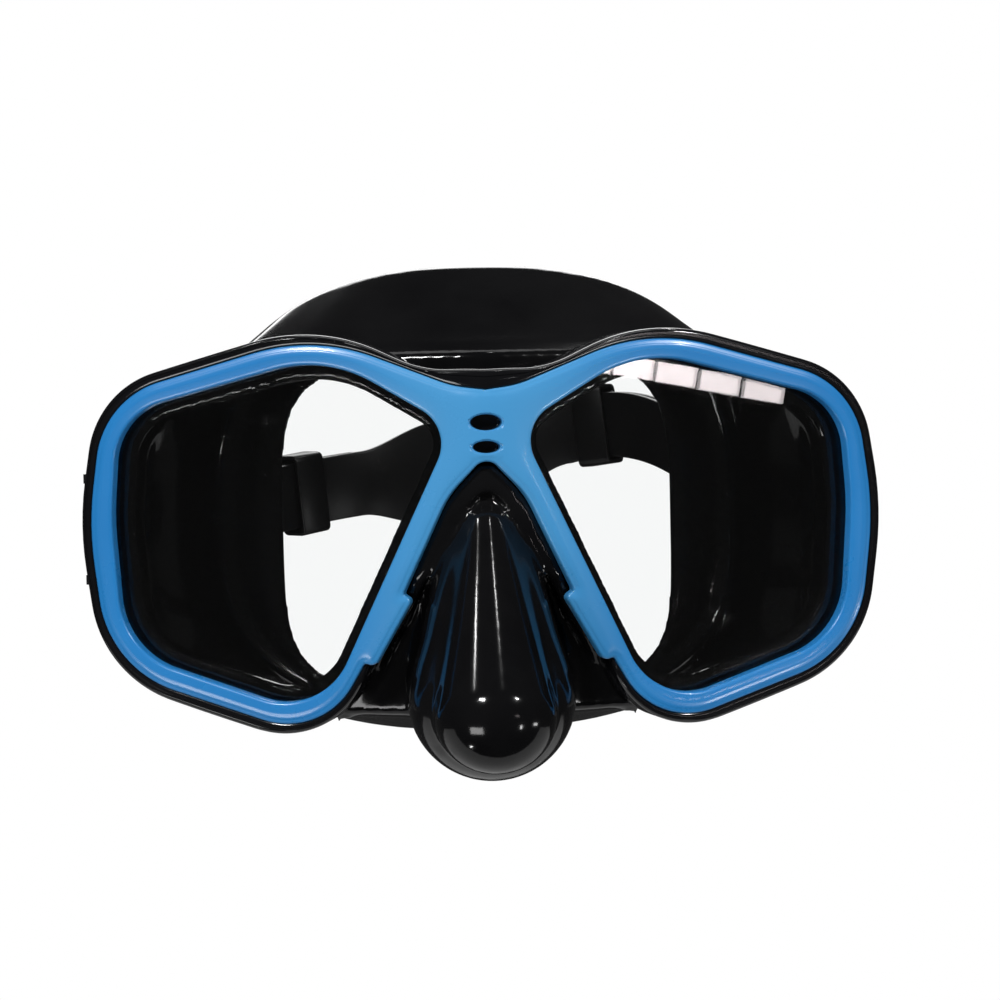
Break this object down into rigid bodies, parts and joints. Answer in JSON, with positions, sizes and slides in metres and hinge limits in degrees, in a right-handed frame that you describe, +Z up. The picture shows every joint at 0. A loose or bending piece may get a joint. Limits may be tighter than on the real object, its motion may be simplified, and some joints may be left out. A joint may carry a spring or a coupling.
{
  "type": "diving mask",
  "caption": "Twin-lens diving mask: blue bezel, black frame, silicone skirt with nose pocket, swivel ratchet buckles and a split head strap.",
  "frame": {"origin": "middle of the face seal, in the plane 60 mm behind the front of the bridge", "axes": "+Z up, -Y the way the wearer looks, +X to the right seen from the front"},
  "size_m": [0.178, 0.1796, 0.1094],
  "materials": {
    "bezel_blue": "glossy",
    "frame_black": "glossy",
    "buckle_black": "satin",
    "skirt_silicone": "polished",
    "strap_silicone": "satin",
    "lens_glass": "polished",
    "pin_steel": "polished"
  },
  "bodies": {
    "mask": {"front_bezel": "bezel_blue", "main_frame": "frame_black", "lens_left": "lens_glass", "lens_right": "lens_glass", "skirt": "skirt_silicone", "head_strap": "strap_silicone", "hinge_pin_left": "pin_steel", "hinge_pin_right": "pin_steel"},
    "buckle_left": {"buckle_body_left": "buckle_black", "strap_end_left": "strap_silicone", "roller_axle_left": "pin_steel", "lever_pin_left": "pin_steel", "lever_spring_left": "pin_steel"},
    "roller_left": {"strap_roller_left": "buckle_black"},
    "lever_left": {"ratchet_lever_left": "buckle_black"},
    "keeper_left": {"strap_keeper_left": "strap_silicone"},
    "buckle_right": {"buckle_body_right": "buckle_black", "strap_end_right": "strap_silicone", "roller_axle_right": "pin_steel", "lever_pin_right": "pin_steel", "lever_spring_right": "pin_steel"},
    "roller_right": {"strap_roller_right": "buckle_black"},
    "lever_right": {"ratchet_lever_right": "buckle_black"},
    "keeper_right": {"strap_keeper_right": "strap_silicone"}
  },
  "joints": [
    {"name": "buckle_left_swivel", "type": "hinge", "parent": "mask", "child": "buckle_left", "pos_m": [-0.0802, -0.022, 0.001], "axis": [0, 0, 1], "range_deg": [-5, 35]},
    {"name": "roller_left_spin", "type": "hinge", "parent": "buckle_left", "child": "roller_left", "pos_m": [-0.07829, -0.01117, 0.001], "axis": [0, 0, 1], "continuous": true},
    {"name": "lever_left_press", "type": "hinge", "parent": "buckle_left", "child": "lever_left", "pos_m": [-0.08506, -0.00236, 0.001], "axis": [0, 0, -1], "range_deg": [0, 8], "stiffness_Nm_per_rad": 0.05, "springref_deg": -20.05},
    {"name": "keeper_left_slide", "type": "slide", "parent": "mask", "child": "keeper_left", "axis": [0.7467, 0.6537, 0.1225], "range_m": [-0.0025, 0.0025]},
    {"name": "buckle_right_swivel", "type": "hinge", "parent": "mask", "child": "buckle_right", "pos_m": [0.0802, -0.022, 0.001], "axis": [0, 0, -1], "range_deg": [-5, 35]},
    {"name": "roller_right_spin", "type": "hinge", "parent": "buckle_right", "child": "roller_right", "pos_m": [0.07829, -0.01117, 0.001], "axis": [0, 0, 1], "continuous": true},
    {"name": "lever_right_press", "type": "hinge", "parent": "buckle_right", "child": "lever_right", "pos_m": [0.08506, -0.00236, 0.001], "axis": [0, 0, 1], "range_deg": [0, 8], "stiffness_Nm_per_rad": 0.05, "springref_deg": -20.05},
    {"name": "keeper_right_slide", "type": "slide", "parent": "mask", "child": "keeper_right", "axis": [-0.8295, 0.544, -0.1265], "range_m": [-0.0025, 0.0025]}
  ]
}
